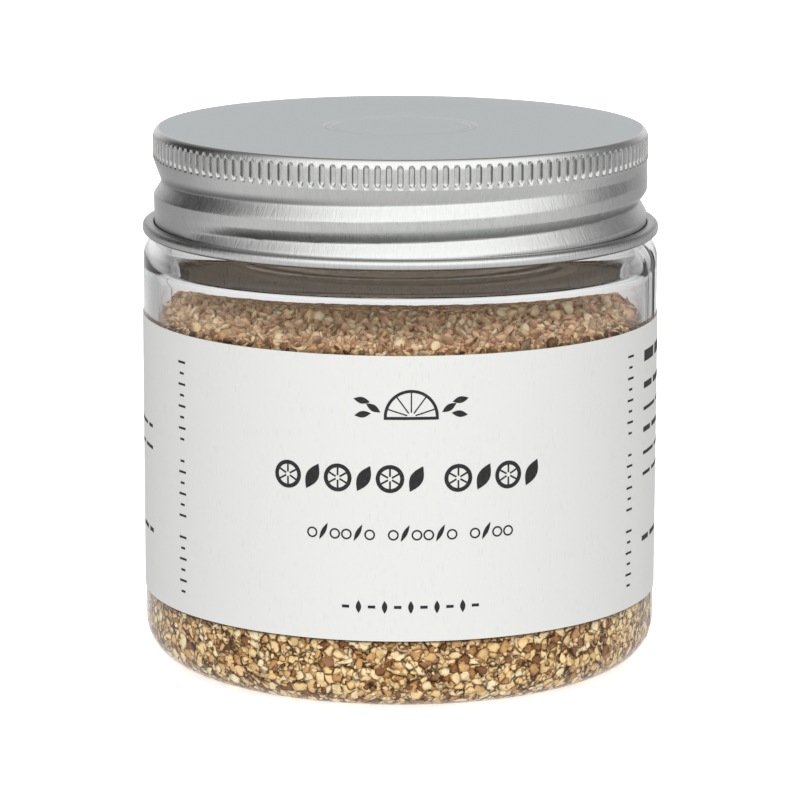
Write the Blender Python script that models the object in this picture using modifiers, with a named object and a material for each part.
"""Clear screw jar of granulated dried orange peel, shut by a thin aluminium lid, with a paper wrap label.

Metres, +Z up. The origin is the centre of the ring that the jar stands on, and the label's front faces -Y.
The jar, the lid, the label and the granules are separate solids, and the lid is screwed down.
"""

import math

import bpy

MM = 0.001
SEGMENTS = 60
ARC_STEPS = 4
MERGE_DISTANCE = 0.00001

# Jar: a straight body on a rounded heel, a round shoulder and a plain neck under the lid.
BODY_RADIUS = 30.5 * MM
BODY_WALL = 0.8 * MM
SHOULDER_WALL = 1.8 * MM
WALL_THICK_ABOVE = 40.0 * MM
WALL_THIN_BELOW = 24.0 * MM
SHOULDER_START = 48.2 * MM
SHOULDER_RADIUS = 3.0 * MM
INNER_SHOULDER_START = 46.34 * MM
EASY_RADIUS = 4.15 * MM
EASY_DEGREES = 23.6
TIGHT_RADIUS = 2.5 * MM
NECK_RADIUS = 27.4 * MM
HEEL_RADIUS = 4.7 * MM
STANDING_RING_WIDTH = 2.4 * MM
BASE_RECESS = 0.9 * MM
BASE_THICKNESS = 1.1 * MM

# Lid: one sheet of aluminium, with a rolled thread and a curled bottom edge.
LID_TOP = 63.5 * MM
LID_RADIUS = 29.27 * MM
LID_SHEET = 0.27 * MM
LID_CORNER = 0.7 * MM
LID_BOTTOM = 51.1 * MM
SKIRT_RADIUS = 29.15 * MM
BAND_BOTTOM = 60.1 * MM
CURL_WIDTH = 0.58 * MM
CURL_HEIGHT = 0.40 * MM
RIM_GAP = 0.33 * MM

# Rolled thread: one right-hand groove that rises round the skirt and fades out at both ends.
THREAD_PITCH = 4.233 * MM
THREAD_DEPTH = 0.95 * MM
THREAD_FLANK = 1.35 * MM
THREAD_START = math.radians(205)
THREAD_START_HEIGHT = 53.44 * MM
THREAD_SWEEP = math.radians(535)
THREAD_FADE_IN = math.radians(35)
THREAD_FADE_OUT = math.radians(115)
FLANK_OPENS_FROM = 55.5 * MM
FLANK_OPENS_TO = 57.3 * MM
SKIRT_ROWS = 7
CURL_STEPS = 7

# Label: paper wrapped round the body, with its ends one segment apart at the back.
LABEL_BOTTOM = 8.6 * MM
LABEL_HEIGHT = 33.0 * MM
LABEL_THICKNESS = 0.12 * MM
LABEL_CLEARANCE = 0.04 * MM
LABEL_FIRST_SEGMENT = 16

# Granules: filled to just above the top of the label, with an uneven surface.
FILL_HEIGHT = 42.4 * MM
FILL_CLEARANCE = 0.3 * MM
FILL_UNEVENNESS = 0.45 * MM
FILL_RINGS = 4


def smooth(share):
    """Smooth step from 0 to 1."""
    share = min(1.0, max(0.0, share))
    return share * share * (3 - 2 * share)


def arc(centre, radii, first_degrees, last_degrees, steps):
    """Points (radius, height) along an elliptical arc, both ends included."""
    points = []
    for i in range(steps + 1):
        angle = math.radians(first_degrees + (last_degrees - first_degrees) * i / steps)
        points.append((centre[0] + radii[0] * math.cos(angle), centre[1] + radii[1] * math.sin(angle)))
    return points


def line(first, last, steps):
    """Points (radius, height) along a straight line, the first end left out."""
    return [
        tuple(a + (b - a) * i / steps for a, b in zip(first, last))
        for i in range(1, steps + 1)
    ]


def material(name, colour, roughness, metallic=0.0, transmission=0.0, alpha=1.0):
    """A Principled material with one plain finish."""
    finish = bpy.data.materials.new(name)
    finish.use_nodes = True
    shader = finish.node_tree.nodes["Principled BSDF"]
    shader.inputs["Base Color"].default_value = (*colour, 1.0)
    shader.inputs["Roughness"].default_value = roughness
    shader.inputs["Metallic"].default_value = metallic
    shader.inputs["Transmission Weight"].default_value = transmission
    shader.inputs["Alpha"].default_value = alpha
    return finish


def turned(collection, name, profile, finish, segments=SEGMENTS):
    """A profile of (radius, height) points, turned about Z by a Screw modifier."""
    mesh = bpy.data.meshes.new(name)
    edges = [(i, i + 1) for i in range(len(profile) - 1)]
    mesh.from_pydata([(radius, 0.0, height) for radius, height in profile], edges, [])
    mesh.materials.append(finish)
    piece = bpy.data.objects.new(name, mesh)
    collection.objects.link(piece)
    turn = piece.modifiers.new("turn", "SCREW")
    turn.axis = "Z"
    turn.angle = math.tau * segments / SEGMENTS
    turn.steps = segments
    turn.render_steps = segments
    turn.use_smooth_shade = True
    turn.use_merge_vertices = True
    turn.merge_threshold = MERGE_DISTANCE
    return piece


def made_mesh(piece):
    """The same object with its modifiers applied, so that its vertices can be moved."""
    bpy.context.view_layer.update()
    evaluated = piece.evaluated_get(bpy.context.evaluated_depsgraph_get())
    piece.data = bpy.data.meshes.new_from_object(evaluated)
    piece.modifiers.clear()
    return piece


def thicken(piece, thickness, offset):
    """A sheet's thickness: offset -1 lays it behind the surface and 1 in front of it."""
    sheet = piece.modifiers.new("sheet", "SOLIDIFY")
    sheet.thickness = thickness
    sheet.offset = offset
    sheet.use_even_offset = True


def inner_shoulder(bore):
    """The inside's turn in to the neck: an easy curve that tightens, then the foot of the neck's bore."""
    easy = (bore - EASY_RADIUS, INNER_SHOULDER_START)
    turn = math.radians(EASY_DEGREES)
    shift = EASY_RADIUS - TIGHT_RADIUS
    tight = (easy[0] + shift * math.cos(turn), easy[1] + shift * math.sin(turn))
    points = arc(easy, (EASY_RADIUS, EASY_RADIUS), 0, EASY_DEGREES, 1)
    points += arc(tight, (TIGHT_RADIUS, TIGHT_RADIUS), EASY_DEGREES, 90, ARC_STEPS)[1:-1]
    points.append((tight[0], tight[1] + TIGHT_RADIUS))
    return points


def inner_wall():
    """The jar's inside from the middle of its floor up to the neck's rim."""
    floor = BASE_RECESS + BASE_THICKNESS
    heel = HEEL_RADIUS - BODY_WALL
    bore = BODY_RADIUS - BODY_WALL
    shoulder_bore = BODY_RADIUS - SHOULDER_WALL
    rim = LID_TOP - LID_SHEET - RIM_GAP
    points = [(0.0, floor)]
    points += line(points[-1], (bore - heel - STANDING_RING_WIDTH, floor), 2)
    points += arc((bore - heel, BODY_WALL + heel), (heel, heel), 270, 360, ARC_STEPS)
    points += [(bore, WALL_THIN_BELOW), (shoulder_bore, WALL_THICK_ABOVE)]
    points += inner_shoulder(shoulder_bore)
    points.append((points[-1][0], rim))
    return points


def outer_wall():
    """The jar's outside from the neck's rim down to the middle of its base."""
    rim = LID_TOP - LID_SHEET - RIM_GAP
    shoulder = (BODY_RADIUS - SHOULDER_RADIUS, SHOULDER_START)
    foot = BODY_RADIUS - HEEL_RADIUS
    points = [(NECK_RADIUS, rim)]
    points += arc(shoulder, (SHOULDER_RADIUS, SHOULDER_RADIUS), 90, 0, ARC_STEPS)
    points += arc((foot, HEEL_RADIUS), (HEEL_RADIUS, HEEL_RADIUS), 0, -90, ARC_STEPS)
    points += [(foot - STANDING_RING_WIDTH, 0.0)]
    points += [(foot - 2 * STANDING_RING_WIDTH, BASE_RECESS), (0.0, BASE_RECESS)]
    return points


def make_jar(collection):
    """The clear jar: inside and outside in one turned profile."""
    clear = material("clear_plastic", (0.95, 0.96, 0.96), 0.04, transmission=1.0, alpha=0.35)
    return turned(collection, "jar", inner_wall() + outer_wall(), clear)


def thread_depth(azimuth, height):
    """How deep the rolled groove is at this place on the skirt."""
    depth = 0.0
    for turn in range(2):
        swept = (azimuth - THREAD_START) % math.tau + turn * math.tau
        if swept > THREAD_SWEEP:
            continue
        valley = THREAD_START_HEIGHT + THREAD_PITCH * swept / math.tau
        opening = smooth((valley - FLANK_OPENS_FROM) / (FLANK_OPENS_TO - FLANK_OPENS_FROM))
        upper_flank = THREAD_FLANK + opening * (BAND_BOTTOM - valley - THREAD_FLANK)
        flank = max(THREAD_FLANK, upper_flank) if height > valley else THREAD_FLANK
        share = 1 - abs(height - valley) / flank
        fade = smooth(swept / THREAD_FADE_IN) * smooth((THREAD_SWEEP - swept) / THREAD_FADE_OUT)
        depth = max(depth, THREAD_DEPTH * fade * max(0.0, share))
    return depth


def make_lid(collection):
    """The lid's outer face: turned, pressed in along the thread, then given its sheet thickness."""
    aluminium = material("aluminium", (0.73, 0.74, 0.75), 0.32, metallic=1.0)
    curl_centre = (SKIRT_RADIUS + CURL_WIDTH, LID_BOTTOM + CURL_HEIGHT + LID_SHEET)
    corner = (LID_RADIUS - LID_CORNER, LID_TOP - LID_CORNER)
    profile = [(0.0, LID_TOP)]
    profile += line(profile[0], (corner[0], LID_TOP), 2)[:-1]
    profile += arc(corner, (LID_CORNER, LID_CORNER), 90, 0, 3)
    profile += [(LID_RADIUS, BAND_BOTTOM)]
    profile += line(profile[-1], (SKIRT_RADIUS, curl_centre[1] + 2 * CURL_HEIGHT), SKIRT_ROWS)
    profile += arc(curl_centre, (CURL_WIDTH, CURL_HEIGHT), 180, 480, CURL_STEPS)
    lid = made_mesh(turned(collection, "lid", profile, aluminium))
    skirt_bottom = curl_centre[1] + CURL_HEIGHT
    for vertex in lid.data.vertices:
        if skirt_bottom < vertex.co.z < BAND_BOTTOM:
            radius = math.hypot(vertex.co.x, vertex.co.y)
            depth = thread_depth(math.atan2(vertex.co.y, vertex.co.x), vertex.co.z)
            vertex.co.x *= 1 - depth / radius
            vertex.co.y *= 1 - depth / radius
    thicken(lid, LID_SHEET, -1)
    return lid


def make_label(collection):
    """The paper wrap: an open ring, its ends one segment apart at the back."""
    paper = material("label_paper", (0.90, 0.90, 0.88), 0.75)
    radius = BODY_RADIUS + LABEL_CLEARANCE
    profile = [(radius, LABEL_BOTTOM + LABEL_HEIGHT), (radius, LABEL_BOTTOM)]
    label = turned(collection, "label", profile, paper, segments=SEGMENTS - 1)
    label.rotation_euler.z = math.tau * LABEL_FIRST_SEGMENT / SEGMENTS
    thicken(label, LABEL_THICKNESS, 1)
    return label


def heap_height(x, y):
    """Unevenness of the granules' surface: a few slow waves that don't repeat across the jar."""
    waves = ((210, 95, 0.4, 0.45), (-130, 260, 1.9, 0.3), (330, -240, 4.1, 0.25))
    return FILL_UNEVENNESS * sum(
        weight * math.sin(across * x + along * y + phase) for across, along, phase, weight in waves
    )


def make_granules(collection):
    """The granules as one solid out to their uneven surface, just clear of the jar's wall."""
    peel = material("orange_peel", (0.47, 0.33, 0.17), 0.85)
    floor = BASE_RECESS + BASE_THICKNESS + FILL_CLEARANCE
    bore = BODY_RADIUS - BODY_WALL - FILL_CLEARANCE
    heel = HEEL_RADIUS - BODY_WALL
    top = FILL_HEIGHT - FILL_UNEVENNESS
    rim = BODY_RADIUS - SHOULDER_WALL - FILL_CLEARANCE
    profile = [(0.0, FILL_HEIGHT)] + line((0.0, FILL_HEIGHT), (rim, FILL_HEIGHT), FILL_RINGS)
    profile += [(rim, WALL_THICK_ABOVE), (bore, WALL_THIN_BELOW)]
    profile += arc((bore - heel, floor + heel), (heel, heel), 0, -90, ARC_STEPS) + [(0.0, floor)]
    granules = made_mesh(turned(collection, "granules", profile, peel))
    for vertex in granules.data.vertices:
        if vertex.co.z > top:
            vertex.co.z += heap_height(vertex.co.x, vertex.co.y)
    return granules


def main():
    """Builds the four pieces in one collection."""
    for old in list(bpy.data.objects):
        bpy.data.objects.remove(old, do_unlink=True)
    collection = bpy.data.collections.new("jar_of_orange_peel")
    bpy.context.scene.collection.children.link(collection)
    make_jar(collection)
    make_lid(collection)
    make_label(collection)
    make_granules(collection)
    bpy.context.view_layer.update()


main()
